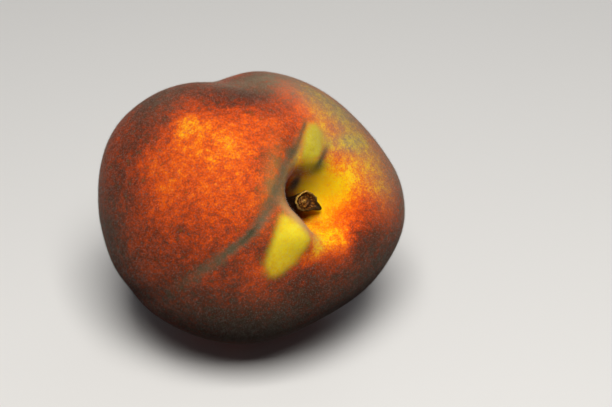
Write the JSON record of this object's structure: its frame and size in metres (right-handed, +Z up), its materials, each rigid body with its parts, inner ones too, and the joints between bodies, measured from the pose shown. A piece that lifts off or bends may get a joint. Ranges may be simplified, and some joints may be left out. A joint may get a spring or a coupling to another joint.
{
  "type": "peach",
  "caption": "Ripe peach lying on its side on a small flat spot, with a deep stem cavity, a shallow suture and the broken stub of its stem.",
  "frame": {"origin": "middle of the small flat spot that the fruit rests on", "axes": "+Z up from the resting spot; the stem end points 36 degrees from -Y towards +X and 32 degrees upwards, and the large cheek lies towards -X"},
  "size_m": [0.0746, 0.0705, 0.0684],
  "materials": {
    "peach_skin": "matt velvety skin, mottled orange to maroon blush over yellow, pale grey fuzz at grazing angles",
    "stem_bark": "dry dark brown bark, paler wood at the broken end"
  },
  "bodies": {
    "root": {"fruit": "peach_skin", "stem": "stem_bark"}
  },
  "joints": []
}
